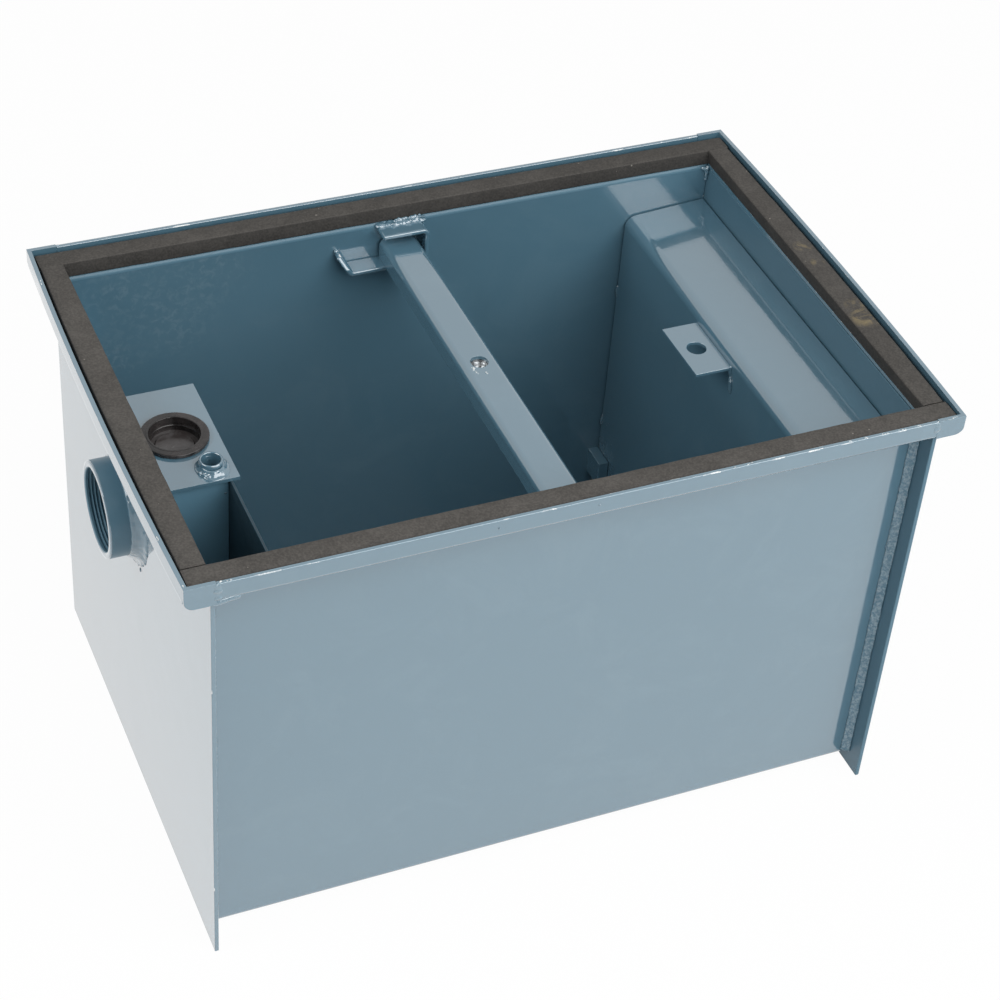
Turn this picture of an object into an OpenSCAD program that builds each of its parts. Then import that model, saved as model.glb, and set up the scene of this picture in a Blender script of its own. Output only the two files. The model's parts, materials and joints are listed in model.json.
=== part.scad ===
/* [Tank] */
// Length of the tank over its two end plates
tank_l = 522.5; // [460:0.5:640]
// Width of the tank over its front and back walls
tank_w = 337.5; // [295:0.5:420]
// Height from the feet to the top of the front and back rails
tank_h = 355.6; // [305:0.1:420]
// Thickness of the tank's sheet steel
sheet = 3.1; // [2.4:0.1:3.8]
// Gap between the floor sheet and the ground, under the end plates' feet
foot_h = 7.5; // [5:0.5:18]
// Inside radius of the two bends along the tank's floor
floor_bend = 3; // [1.5:0.5:6]

/* [Rim] */
// Reach of the front and back rails beyond their walls
side_ledge = 21.5; // [18.5:0.5:28]
// Reach of the end rails beyond the end plates
end_ledge = 18.2; // [15:0.1:26]
// Height of the rails from their underside to their top edge
rail_h = 15.5; // [13:0.5:22]
// Inside radius of the rails' bends
rim_bend = 1; // [0.5:0.25:1.75]
// Drop of the corner returns below the rails' underside
corner_drop = 1.5; // [0.5:0.5:5]
// Rise of the end rails above the front and back rails
corner_rise = 0.5; // [0.25:0.25:3]
// Radius of the lower outer corner of each corner return
corner_r = 7; // [4:0.5:10]

/* [Gasket] */
// Gap between the rubber strips and the rails' upstands
gasket_gap = 2.5; // [2:0.25:5]
// Thickness of the rubber strips
gasket_t = 10.5; // [8:0.5:13]
// Set-back of the front and back strips from the inside of their walls
gasket_back = 2.7; // [2:0.1:4]
// Spread of the front and back strips' foot, inwards over the bends of the walls
gasket_spread = 2.4; // [0.5:0.1:2.7]
// Edge radius of the strips
gasket_edge = 1.2; // [0.4:0.2:2.4]

/* [Pipe couplings] */
// Depth of the couplings' axis below the top of the rails
pipe_drop = 89; // [82:0.5:120]
// Outside diameter of the couplings
pipe_od = 69.8; // [66:0.1:77]
// Diameter of the couplings' threaded bore
pipe_bore = 57.2; // [50:0.1:59]
// Diameter of the countersink at the couplings' mouths
pipe_mouth = 61.5; // [59.5:0.1:62.5]
// Depth of the countersink at the couplings' mouths
pipe_sink = 3; // [1:0.5:5]
// Length of the couplings
pipe_len = 33.5; // [30:0.5:40]
// Length of the couplings outside the end plates
pipe_out = 23.3; // [18:0.1:25]
// Chamfer at the couplings' mouths
pipe_chamfer = 1.2; // [0.5:0.1:2]
// Leg of the fillet weld round each coupling
pipe_weld = 9; // [3:0.5:11]

/* [Crossbar] */
// Place of the crossbar's middle along the tank
bar_x = -3.5; // [-18:0.5:18]
// Width of the crossbar
bar_w = 29.33; // [27.5:0.01:33]
// Height of the crossbar
bar_h = 16.5; // [15:0.5:20]
// Thickness of the crossbar's sheet
bar_sheet = 2.75; // [2:0.05:3]
// Inside radius of the crossbar's bends
bar_bend = 2.75; // [1.5:0.25:2.75]
// Gap between the crossbar's ends and the walls
bar_end_gap = 2.48; // [2:0.02:5.5]
// Diameter of the cover bolt's hole in the crossbar
bolt_hole = 13.2; // [12:0.1:15]
// Diameter of the weld nut's threaded bore
bolt_thread = 10.6; // [8:0.1:11]
// Width of the weld nut over its flats
nut_flats = 18; // [15:0.5:18]
// Height of the weld nut under the crossbar
nut_h = 10; // [8:0.5:11.5]

/* [Crossbar hooks] */
// Thickness of the hooks' strip
hook_sheet = 3.1; // [2:0.1:4]
// Width of the hooks' strip, out from the wall
hook_depth = 15.5; // [11:0.5:20]
// Room over the crossbar inside the hooks
hook_room = 7.5; // [5:0.5:13]
// Inside radius of the hooks' bends
hook_bend = 2.5; // [1:0.25:3]
// Gap between the crossbar and the hooks' closed side
hook_play = 3; // [1.5:0.5:5.5]
// Reach of the hooks' top plate past the crossbar
hook_top_reach = 1.5; // [0:0.5:4]
// Length of open tray past the crossbar
tray_reach = 26.5; // [25.5:0.5:33]
// Sideways flare of the tray's lip
lip_flare = 7.5; // [4.5:0.5:11]
// Height of the tray's lip
lip_h = 12; // [8:0.5:18]

/* [Inlet baffle] */
// Height of the baffle's top plate over the top of the inlet coupling
baffle_over = 10.4; // [6:0.2:18]
// Reach of the baffle from the end plate to its outer face
baffle_reach = 68.6; // [55:0.2:82]
// Fall of the baffle's top plate towards its fold
baffle_fall = 5; // [1:0.5:9]
// Thickness of the baffle's sheet
baffle_sheet = 2.8; // [2:0.1:3.6]
// Inside radius of the baffle's fold
baffle_bend = 6.5; // [3:0.5:8]
// Gap between the baffle and the tank's walls
baffle_gap = 1; // [0.6:0.1:2]
// Height of the flow opening under the baffle, above the floor
flow_h = 46; // [28:1:64]
// Width of the baffle's two legs
leg_w = 46; // [28:1:64]
// Gap between the baffle's legs and the bends along the floor
leg_gap = 5; // [2:0.5:14]

/* [Lift tab] */
// Drop of the tab's top face below the baffle's fold
tab_drop = 0.6; // [0.2:0.1:20]
// Place of the tab's middle along the baffle, towards the back
tab_y = 4.5; // [-36:0.5:36]
// Length of the tab along the baffle
tab_l = 58.5; // [46:0.5:73]
// Reach of the tab from the baffle
tab_reach = 29.3; // [24:0.1:37]
// Thickness of the tab
tab_t = 2.8; // [2:0.1:4.5]
// Diameter of the lifting hole
tab_hole = 14.5; // [11:0.5:18]

/* [Baffle guides] */
// Height of the guides' top face above the floor
guide_up = 62.9; // [55:0.1:92]
// Thickness of the guides along the tank
guide_t = 8.7; // [5.5:0.1:11]
// Reach of the guides from the walls
guide_reach = 23; // [16:1:30]
// Height of the guides
guide_h = 23; // [15:1:36]

/* [Outlet box] */
// Height of the lid's top face over the top of the outlet coupling
lid_over = 15.5; // [11:0.1:22]
// Depth of the outlet box from the end plate to its outer face
box_d = 55; // [53:0.5:73]
// Width of the outlet box
box_w = 99; // [91:1:120]
// Thickness of the outlet box's walls
box_sheet = 1.9; // [1.2:0.1:2.8]
// Thickness of the outlet box's lid
lid_t = 2.8; // [2:0.1:3.6]
// Gap between the outlet box's foot and the floor
box_foot = 44.6; // [28:0.2:73]
// Overhang of the lid past the front and back of the box
lid_side_over = 3.7; // [1:0.1:7.5]
// Overhang of the lid past the outer face of the box
lid_end_over = 5; // [1:0.5:7.5]

/* [Vent tube] */
// Outside diameter of the vent tube
vent_od = 16.5; // [13:0.1:17]
// Bore of the vent tube
vent_bore = 13.5; // [8:0.1:14]
// Height of the vent tube above the lid
vent_up = 7.3; // [5:0.1:15]
// Length of the vent tube under the lid
vent_down = 7; // [3:0.5:9]
// Gap between the vent tube and the outlet box's outer wall
vent_end_gap = 0.6; // [0.3:0.1:3.5]
// Gap between the vent tube and the outlet box's front wall
vent_side_gap = 1.4; // [0.4:0.1:3.5]
// Leg of the fillet weld round the vent tube
vent_weld = 3; // [2:0.25:4.5]

/* [Cleanout plug] */
// Diameter of the plug's flange
plug_flange = 47.7; // [44:0.1:49.5]
// Thickness of the plug's flange
plug_flange_t = 2.8; // [2:0.1:4.5]
// Diameter of the plug's cup
plug_cup = 41.3; // [35:0.1:42.5]
// Wall of the plug's cup
plug_wall = 2.3; // [1.6:0.1:3]
// Height of the plug's cup under its flange
plug_deep = 10; // [8:0.5:13]
// Gap between the plug's cup and the outlet box's outer wall
plug_gap = 2.1; // [0.6:0.1:3.5]
// Edge radius of the plug's flange
plug_edge = 1; // [0.5:0.1:1.4]
// Diameter of the raised disc in the plug's floor
plug_disc = 27; // [18:1:28]
// Height of the raised disc in the plug's floor
plug_disc_h = 1; // [0.6:0.2:2.6]

/* [Welds and clearances] */
// Leg of the seam welds where the walls meet the end plates
seam_leg = 7.5; // [5:0.5:11]
// Gap round a welded tube where it passes through a hole
hole_gap = 0.1; // [0.05:0.05:0.2]
// Seat gap beside or under a piece that lifts or turns
seat_gap = 0.3; // [0.2:0.05:0.5]

/* [Hidden] */
$fn = 64;
bend_steps = 6;
// Length by which a cutting shape passes the faces that it cuts
past = 1;
half_l = tank_l / 2;
half_w = tank_w / 2;
inner_x = half_l - sheet;
inner_y = half_w - sheet;
floor_z = foot_h + sheet;
ledge_z = tank_h - rail_h;
ledge_mid = ledge_z + sheet / 2;
rim_x = half_l + end_ledge;
rim_y = half_w + side_ledge;
flange_y = rim_y - sheet;
rail_top = tank_h + corner_rise;

strip_w = min(end_ledge, side_ledge - gasket_back) - gasket_gap;
strip_y = inner_y + gasket_back;
strip_end = rim_x - sheet - rim_bend - hole_gap;

pipe_z = tank_h - pipe_drop;
pipe_top = pipe_z + pipe_od / 2;

tray_z = ledge_z - hook_sheet - hook_room - bar_h - seat_gap;
bar_z = tray_z + seat_gap;
bar_top = bar_z + bar_h;
bar_half = inner_y - bar_end_gap;

baffle_x = inner_x - baffle_reach;
baffle_half = inner_y - baffle_gap;
baffle_mid = baffle_x + baffle_sheet / 2;
baffle_top = pipe_top + baffle_over - baffle_sheet / 2;
fold_z = baffle_top - baffle_fall;
fold_turn = 90 - atan(baffle_fall / (baffle_reach - baffle_gap));
tab_z = fold_z - (baffle_bend + baffle_sheet / 2) * tan(fold_turn / 2) - tab_drop;

lid_z = pipe_top + lid_over;
lid_under = lid_z - lid_t;
lid_x = -inner_x + box_d + lid_end_over;
box_low = floor_z + box_foot;
box_inside = -inner_x + box_d - box_sheet;
plug_x = box_inside - plug_gap - plug_cup / 2;
vent_x = box_inside - vent_end_gap - vent_od / 2;
vent_y = -box_w / 2 + box_sheet + vent_side_gap + vent_od / 2;

paint = "#8299a3";
paint_inside = "#4f6d7e";
gasket_rubber = "#5d5852";
plug_rubber = "#2b2726";
bare_steel = "#b9bcbb";

// Direction of a stretch of path, and the direction to its left
function unit(v) = v / norm(v);
function left_of(v) = [-v[1], v[0]];
function reversed(list) = [for (i = [len(list) - 1:-1:0]) list[i]];

// Points of an arc from one angle to another
function arc(centre, r, from, to) =
    [for (k = [0:bend_steps]) let (a = from + (to - from) * k / bend_steps) centre + r * [cos(a), sin(a)]];

// Points of one face of a sheet round corner i of its middle line: side is 1 on the left and -1 on the right
function bend(path, i, side, t, r) =
    let (before = unit(path[i] - path[i - 1]))
    let (after = unit(path[i + 1] - path[i]))
    let (turn = atan2(before[0] * after[1] - before[1] * after[0], before * after))
    let (way = sign(turn))
    let (inwards = way * unit(left_of(before) + left_of(after)))
    let (centre = path[i] + inwards * (r + t / 2) / cos(turn / 2))
    let (start = -way * left_of(before))
    let (angle = atan2(start[1], start[0]))
    arc(centre, side == way ? r : r + t, angle, angle + turn);

// Points of one whole face of a folded sheet
function sheet_face(path, side, t, radii) =
    let (last = len(path) - 1)
    concat(
        [path[0] + side * t / 2 * left_of(unit(path[1] - path[0]))],
        [for (i = [1:last - 1]) each bend(path, i, side, t, radii[i - 1])],
        [path[last] + side * t / 2 * left_of(unit(path[last] - path[last - 1]))]
    );

// Section of a sheet folded along a middle line, with the inside radius of each bend
module folded(path, t, radii) {
    polygon(concat(sheet_face(path, 1, t, radii), reversed(sheet_face(path, -1, t, radii))));
}

// Extrudes a section drawn in Y and Z along X, from one place to another
module along_x(from, to) {
    translate([from, 0, 0])
        rotate([90, 0, 90])
            linear_extrude(to - from) children();
}

// Extrudes a section drawn in X and Z along Y, from one place to another
module along_y(from, to) {
    translate([0, to, 0])
        rotate([90, 0, 0])
            linear_extrude(to - from) children();
}

// Turns a piece of the right or back side round to the other side of the tank
module turned() {
    rotate([0, 0, 180]) children();
}

// One sheet bent into the front wall, floor and back wall, with a rail folded out and up along both tops
module tank_wrapper() {
    wall = half_w - sheet / 2;
    rail = rim_y - sheet / 2;
    floor_mid = foot_h + sheet / 2;
    path = [
        [-rail, tank_h], [-rail, ledge_mid], [-wall, ledge_mid], [-wall, floor_mid],
        [wall, floor_mid], [wall, ledge_mid], [rail, ledge_mid], [rail, tank_h]
    ];
    color(paint)
        along_x(-inner_x, inner_x)
            folded(path, sheet, [rim_bend, rim_bend, floor_bend, floor_bend, rim_bend, rim_bend]);
}

// End plate: its flanges stand out past the walls and its lower edge is the tank's foot
module end_plate() {
    color(paint)
        difference() {
            translate([inner_x, -flange_y, 0])
                cube([sheet, 2 * flange_y, ledge_z]);
            translate([inner_x - past, 0, pipe_z])
                rotate([0, 90, 0])
                    cylinder(d = pipe_od + 2 * hole_gap, h = sheet + 2 * past);
        }
}

module right_end_plate() {
    end_plate();
}

module left_end_plate() {
    turned() end_plate();
}

// Outline of a corner return, with its lower outer corner rounded
module corner_return() {
    low = ledge_z - corner_drop;
    polygon(concat(
        [[inner_x, rail_top], [inner_x, low]],
        arc([rim_x - corner_r, low + corner_r], corner_r, -90, 0),
        [[rim_x, rail_top]]
    ));
}

// End rail: an angle on top of the end plate whose ends turn round the tank's corners
module end_rail() {
    rail = rim_x - sheet / 2;
    color(paint)
        union() {
            along_y(-flange_y, flange_y)
                folded([[inner_x, ledge_mid], [rail, ledge_mid], [rail, rail_top]], sheet, [rim_bend]);
            along_y(-rim_y, -flange_y) corner_return();
            along_y(flange_y, rim_y) corner_return();
        }
}

module right_end_rail() {
    end_rail();
}

module left_end_rail() {
    turned() end_rail();
}

// Fillet welds in the four corners between the walls and the end plates' flanges
module seam_welds() {
    low = foot_h + floor_bend + sheet;
    high = ledge_z - 2 * rim_bend;
    color(paint)
        for (sx = [-1, 1])
            for (sy = [-1, 1])
                translate([0, 0, low])
                    linear_extrude(high - low)
                        polygon([
                            [sx * inner_x, sy * half_w],
                            [sx * (inner_x - seam_leg), sy * half_w],
                            [sx * inner_x, sy * (half_w + seam_leg)]
                        ]);
}

// Section of a gasket strip on its ledge, with its edges eased and its foot spread inwards
module strip_section(spread) {
    e = gasket_edge;
    translate([0, ledge_z + sheet])
        polygon(concat(
            arc([e - spread, e], e, 180, 270),
            arc([strip_w - e, e], e, 270, 360),
            arc([strip_w - e, gasket_t - e], e, 0, 90),
            arc([e, gasket_t - e], e, 90, 180)
        ));
}

// Gasket strip along a side rail, from one end rail to the other
module side_strip() {
    color(gasket_rubber)
        along_x(-strip_end, strip_end)
            translate([strip_y, 0]) strip_section(gasket_spread);
}

module back_gasket() {
    side_strip();
}

module front_gasket() {
    turned() side_strip();
}

// Gasket strip along an end rail, butted between the two long strips
module end_strip() {
    color(gasket_rubber)
        along_y(gasket_spread - strip_y, strip_y - gasket_spread)
            translate([inner_x, 0]) strip_section(0);
}

module right_gasket() {
    end_strip();
}

module left_gasket() {
    turned() end_strip();
}

// Half coupling through an end plate, with its fillet weld on the outside
module coupling() {
    r = pipe_od / 2;
    outer = half_l + pipe_out;
    color(paint)
        translate([0, 0, pipe_z])
            rotate([0, 90, 0])
                rotate_extrude()
                    polygon([
                        [pipe_bore / 2, outer - pipe_len],
                        [r, outer - pipe_len],
                        [r, half_l],
                        [r + pipe_weld, half_l],
                        [r, half_l + pipe_weld],
                        [r, outer - pipe_chamfer],
                        [r - pipe_chamfer, outer],
                        [pipe_mouth / 2, outer],
                        [pipe_bore / 2, outer - pipe_sink]
                    ]);
}

module inlet_coupling() {
    coupling();
}

module outlet_coupling() {
    turned() coupling();
}

// Channel-section bar across the tank, open underneath, drilled for the cover's bolt
module crossbar() {
    side = bar_w / 2 - bar_sheet / 2;
    web = bar_top - bar_sheet / 2;
    path = [[-side, bar_z], [-side, web], [side, web], [side, bar_z]];
    color(paint)
        translate([bar_x, 0, 0])
            difference() {
                along_y(-bar_half, bar_half)
                    folded(path, bar_sheet, [bar_bend, bar_bend]);
                translate([0, 0, bar_z])
                    cylinder(d = bolt_hole, h = bar_h + past);
            }
}

// Hexagon nut welded under the crossbar's hole, its flats along the bar
module bar_nut() {
    color(bare_steel)
        translate([bar_x, 0, bar_top - bar_sheet - nut_h])
            difference() {
                rotate([0, 0, 30])
                    cylinder(d = nut_flats / cos(30), h = nut_h, $fn = 6);
                translate([0, 0, -past])
                    cylinder(d = bolt_thread, h = nut_h + 2 * past);
            }
}

// Hook for one end of the crossbar: a strip bent over the bar, down beside it and back under it as an open
// tray, with a flared lip that is cut back towards the wall as it rises
module bar_hook() {
    closed = bar_w / 2 + hook_play + hook_sheet / 2;
    open = -bar_w / 2 - tray_reach;
    top = ledge_z - hook_sheet / 2;
    tray = tray_z - hook_sheet / 2;
    path = [
        [-bar_w / 2 - hook_top_reach, top], [closed, top], [closed, tray],
        [open, tray], [open - lip_flare, tray + lip_h]
    ];
    edge = inner_y - hook_depth - past;
    lip_top = tray_z + lip_h + hook_sheet;
    color(paint)
        translate([bar_x, 0, 0])
            difference() {
                along_y(inner_y - hook_depth, inner_y)
                    folded(path, hook_sheet, [hook_bend, hook_bend, hook_bend]);
                along_x(open - lip_flare - hook_sheet, open)
                    polygon([[edge, tray_z + hook_bend], [inner_y - past, lip_top], [edge, lip_top]]);
            }
}

module back_bar_hook() {
    bar_hook();
}

module front_bar_hook() {
    translate([2 * bar_x, 0, 0]) turned() bar_hook();
}

// Inlet baffle: one sheet folded over the inlet, standing on two legs beside the flow opening
module inlet_baffle() {
    foot = floor_z + seat_gap;
    path = [[inner_x - baffle_gap, baffle_top], [baffle_mid, fold_z], [baffle_mid, foot]];
    leg_out = inner_y - floor_bend - leg_gap;
    flow_half = leg_out - leg_w;
    cut_h = floor_z + flow_h - foot + past;
    corner = baffle_half - leg_out + past;
    color(paint)
        difference() {
            along_y(-baffle_half, baffle_half)
                folded(path, baffle_sheet, [baffle_bend]);
            translate([baffle_x - past, 0, foot - past])
                for (y = [-leg_out - corner, -flow_half, leg_out])
                    translate([0, y, 0])
                        cube([baffle_sheet + 2 * past, y == -flow_half ? 2 * flow_half : corner, cut_h]);
        }
}

// Tab welded to the baffle's face, drilled for a lifting hook
module lift_tab() {
    color(paint)
        translate([baffle_x - tab_reach, tab_y, tab_z - tab_t])
            difference() {
                translate([0, -tab_l / 2, 0])
                    cube([tab_reach, tab_l, tab_t]);
                translate([tab_reach / 2, 0, -past])
                    cylinder(d = tab_hole, h = tab_t + 2 * past);
            }
}

// Guide on the wall that the baffle stands against
module baffle_guide() {
    color(paint_inside)
        translate([baffle_x - seat_gap - guide_t, inner_y - guide_reach, floor_z + guide_up - guide_h])
            cube([guide_t, guide_reach, guide_h]);
}

module back_baffle_guide() {
    baffle_guide();
}

module front_baffle_guide() {
    mirror([0, 1, 0]) baffle_guide();
}

// Outer wall of the outlet box, carried on to the tank's front wall
module outlet_plate() {
    color(paint_inside)
        translate([box_inside, -inner_y, box_low])
            cube([box_sheet, inner_y + box_w / 2, lid_under - box_low]);
}

// Side wall of the outlet box, from the end plate to the outlet plate
module box_side() {
    color(paint_inside)
        translate([-inner_x, box_w / 2 - box_sheet, box_low])
            cube([box_d - box_sheet, box_sheet, lid_under - box_low]);
}

module outlet_box_back() {
    box_side();
}

module outlet_box_front() {
    mirror([0, 1, 0]) box_side();
}

// Lid of the outlet box, drilled for the cleanout plug and the vent tube
module outlet_box_lid() {
    half_lid = box_w / 2 + lid_side_over;
    color(paint)
        difference() {
            translate([-inner_x, -half_lid, lid_under])
                cube([lid_x + inner_x, 2 * half_lid, lid_t]);
            translate([plug_x, 0, lid_under - past])
                cylinder(d = plug_cup + 2 * seat_gap, h = lid_t + 2 * past);
            translate([vent_x, vent_y, lid_under - past])
                cylinder(d = vent_od + 2 * hole_gap, h = lid_t + 2 * past);
        }
}

// Vent tube through the lid, with its fillet weld on top
module vent_tube() {
    r = vent_od / 2;
    color(paint)
        translate([vent_x, vent_y, 0])
            rotate_extrude()
                polygon([
                    [vent_bore / 2, lid_under - vent_down],
                    [r, lid_under - vent_down],
                    [r, lid_z],
                    [r + vent_weld, lid_z],
                    [r, lid_z + vent_weld],
                    [r, lid_z + vent_up],
                    [vent_bore / 2, lid_z + vent_up]
                ]);
}

// Push-in cup plug whose flange rests on the lid, with a raised disc in its floor
module cleanout_plug() {
    low = lid_z + seat_gap;
    high = low + plug_flange_t;
    bottom = low - plug_deep;
    floor_top = bottom + plug_wall;
    rim = plug_flange / 2;
    cup = plug_cup / 2;
    bowl = cup - plug_wall;
    color(plug_rubber)
        translate([plug_x, 0, 0])
            rotate_extrude()
                polygon(concat(
                    [[0, bottom], [cup, bottom], [cup, low], [rim, low]],
                    arc([rim - plug_edge, high - plug_edge], plug_edge, 0, 90),
                    arc([bowl + plug_edge, high - plug_edge], plug_edge, 90, 180),
                    [[bowl, floor_top], [plug_disc / 2, floor_top]],
                    [[plug_disc / 2, floor_top + plug_disc_h], [0, floor_top + plug_disc_h]]
                ));
}

tank_wrapper();
left_end_plate();
right_end_plate();
left_end_rail();
right_end_rail();
seam_welds();
front_gasket();
back_gasket();
left_gasket();
right_gasket();
outlet_coupling();
inlet_coupling();
crossbar();
bar_nut();
back_bar_hook();
front_bar_hook();
inlet_baffle();
lift_tab();
back_baffle_guide();
front_baffle_guide();
outlet_plate();
outlet_box_front();
outlet_box_back();
outlet_box_lid();
vent_tube();
cleanout_plug();
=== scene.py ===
"""Looks of a welded steel grease trap with its cover off: glossy blue-grey enamel, rubber gasket, rough welds."""

import json
import math
import random

import bpy
from mathutils import Matrix, Vector

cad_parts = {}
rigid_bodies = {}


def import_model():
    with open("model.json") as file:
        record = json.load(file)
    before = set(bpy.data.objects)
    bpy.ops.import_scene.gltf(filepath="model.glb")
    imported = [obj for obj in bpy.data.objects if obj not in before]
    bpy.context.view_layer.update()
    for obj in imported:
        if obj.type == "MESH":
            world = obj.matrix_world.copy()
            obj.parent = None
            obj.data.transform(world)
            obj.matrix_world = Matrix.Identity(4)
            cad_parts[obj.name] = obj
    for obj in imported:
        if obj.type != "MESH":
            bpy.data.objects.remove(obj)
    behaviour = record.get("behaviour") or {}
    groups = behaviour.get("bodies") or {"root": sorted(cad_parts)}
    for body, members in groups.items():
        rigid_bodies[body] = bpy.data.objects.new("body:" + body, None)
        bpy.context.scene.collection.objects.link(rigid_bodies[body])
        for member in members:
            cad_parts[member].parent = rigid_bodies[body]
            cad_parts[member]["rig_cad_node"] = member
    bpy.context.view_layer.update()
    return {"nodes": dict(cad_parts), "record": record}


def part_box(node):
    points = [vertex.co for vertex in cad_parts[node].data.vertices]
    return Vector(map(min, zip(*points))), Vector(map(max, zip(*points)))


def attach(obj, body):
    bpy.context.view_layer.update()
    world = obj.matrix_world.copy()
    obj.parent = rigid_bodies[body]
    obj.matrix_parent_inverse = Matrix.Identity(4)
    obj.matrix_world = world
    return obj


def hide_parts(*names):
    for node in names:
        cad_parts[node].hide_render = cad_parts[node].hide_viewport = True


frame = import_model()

MM = 0.001
BODY_OF = {name: body for body, names in frame["record"]["behaviour"]["bodies"].items() for name in names}

# Camera, fitted to the photo
CAMERA_PLACE = (-0.59411, -1.27124, 1.39788)
CAMERA_AZIMUTH = -25.862
CAMERA_ELEVATION = 40.451
CAMERA_ROLL = 5.006
LENS_PIXELS = 2482.3
IMAGE_PIXELS = 1000
SENSOR_MM = 36

# Colours of the finishes, linear
ENAMEL = (0.092, 0.190, 0.255, 1)
ENAMEL_PALE = (0.118, 0.218, 0.282, 1)
ENAMEL_MIST = (0.230, 0.330, 0.385, 1)
# Pale weld specks: partly the weld's own tone, partly a painted highlight
PALE_WELD_AND_HIGHLIGHT = (0.42, 0.50, 0.55, 1)
PRIMER = (0.76, 0.80, 0.80, 1)
RUBBER_DARK = (0.045, 0.042, 0.038, 1)
RUBBER_LIGHT = (0.102, 0.095, 0.087, 1)
RUBBER_DUST = (0.30, 0.28, 0.25, 1)
RUBBER_STAIN = (0.30, 0.24, 0.13, 1)
PLUG_BLACK = (0.012, 0.011, 0.011, 1)
PLUG_WORN = (0.045, 0.038, 0.037, 1)
PLUG_DUST = (0.12, 0.115, 0.115, 1)
STEEL = (0.42, 0.44, 0.45, 1)
STEEL_DARK = (0.05, 0.055, 0.06, 1)

# Radii of eased edges, and the distance within which points are joined
EDGE_EASE = 0.5 * MM
RIM_EASE = 0.7 * MM
HOOK_EASE = 1.25 * MM
NUT_EASE = 0.6 * MM
PLUG_EASE = 0.4 * MM
JOIN = 0.01 * MM
SMOOTH_ANGLE = math.radians(35)


# Modelling helpers

def start():
    """Object mode with nothing selected, so that an operator acts only on what comes next."""
    if bpy.context.object and bpy.context.object.mode != "OBJECT":
        bpy.ops.object.mode_set(mode="OBJECT")
    bpy.ops.object.select_all(action="DESELECT")


def only(piece):
    """Selects one piece and makes it active."""
    start()
    piece.select_set(True)
    bpy.context.view_layer.objects.active = piece


def edit(piece):
    """Opens a piece in edit mode, by vertices, with all of it selected."""
    only(piece)
    bpy.ops.object.mode_set(mode="EDIT")
    bpy.ops.mesh.select_mode(type="VERT")
    bpy.ops.mesh.select_all(action="SELECT")


def done():
    bpy.ops.object.mode_set(mode="OBJECT")


def settle(piece):
    """Puts a piece's place, turn and size into its mesh."""
    only(piece)
    bpy.ops.object.transform_apply(location=True, rotation=True, scale=True)


def apply_modifier(piece, kind, **settings):
    only(piece)
    modifier = piece.modifiers.new(kind.lower(), kind)
    for key, value in settings.items():
        setattr(modifier, key, value)
    bpy.ops.object.modifier_apply(modifier=modifier.name)


def roughen(piece, size, strength):
    """Pushes a piece's surface in and out by soft lumps of about the given size."""
    lumps = bpy.data.textures.new(piece.name + "_lumps", "CLOUDS")
    lumps.noise_scale = size
    apply_modifier(piece, "DISPLACE", texture=lumps, texture_coords="LOCAL", strength=strength, mid_level=0.5)


def dress(piece, materials, body):
    """Gives a piece its finishes and the body that it moves with."""
    piece.data.materials.clear()
    for material in materials:
        piece.data.materials.append(material)
    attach(piece, body)
    return piece


def eased(node, materials, ease=EDGE_EASE, swell=0.0):
    """A copy of a CAD node with eased edges, which take the last of the materials; swell thickens it."""
    only(frame["nodes"][node])
    bpy.ops.object.duplicate()
    piece = bpy.context.active_object
    piece.name = "finished_" + node
    del piece["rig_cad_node"]
    dress(piece, materials, BODY_OF[node])
    edit(piece)
    bpy.ops.mesh.customdata_custom_splitnormals_clear()
    bpy.ops.mesh.remove_doubles(threshold=JOIN)
    bpy.ops.mesh.dissolve_limited(angle_limit=math.radians(0.5))
    done()
    only(piece)
    bpy.ops.object.shade_smooth_by_angle(angle=SMOOTH_ANGLE)
    if swell:
        apply_modifier(piece, "DISPLACE", strength=swell, mid_level=0.0)
    apply_modifier(piece, "BEVEL", width=ease, segments=3, limit_method="ANGLE", angle_limit=SMOOTH_ANGLE,
                   material=len(materials) - 1)
    apply_modifier(piece, "WEIGHTED_NORMAL", mode="FACE_AREA", weight=90, keep_sharp=True)
    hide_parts(node)
    return piece


def turned(name, outline, centre, axis, side, steps=96):
    """A ring turned from an outline of (radius, height) points, in mm, round an axis through centre."""
    axis, side, centre = Vector(axis), Vector(side), Vector(centre)
    points = [centre + side * (radius * MM) + axis * (height * MM) for radius, height in outline]
    start()
    bpy.ops.mesh.primitive_plane_add(size=MM, location=points[0])
    piece = bpy.context.active_object
    piece.name = name
    settle(piece)
    edit(piece)
    bpy.ops.mesh.merge(type="CENTER")
    for before, after in zip(points, points[1:]):
        bpy.ops.mesh.extrude_region_move(TRANSFORM_OT_translate={"value": after - before})
    bpy.ops.mesh.select_all(action="DESELECT")
    done()
    piece.data.vertices[0].select = True
    piece.data.vertices[len(points) - 1].select = True
    bpy.ops.object.mode_set(mode="EDIT")
    bpy.ops.mesh.edge_face_add()
    bpy.ops.mesh.select_all(action="SELECT")
    bpy.ops.mesh.spin(steps=steps, angle=math.tau, center=centre, axis=axis)
    bpy.ops.mesh.select_all(action="SELECT")
    bpy.ops.mesh.remove_doubles(threshold=JOIN)
    bpy.ops.mesh.normals_make_consistent(inside=False)
    done()
    only(piece)
    bpy.ops.object.shade_smooth_by_angle(angle=SMOOTH_ANGLE)
    return piece


def lumps_along(first, last, count, radii, wander, rng):
    """Weld lumps in a row from one point to another, in mm, each a little out of line and out of size."""
    row = []
    for i in range(count):
        place = Vector(first).lerp(Vector(last), i / max(1, count - 1))
        place += Vector([rng.uniform(-wander, wander) for _ in range(3)])
        swell = rng.uniform(0.8, 1.2)
        row.append((place * MM, Vector(radii) * swell * MM))
    return row


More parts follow.
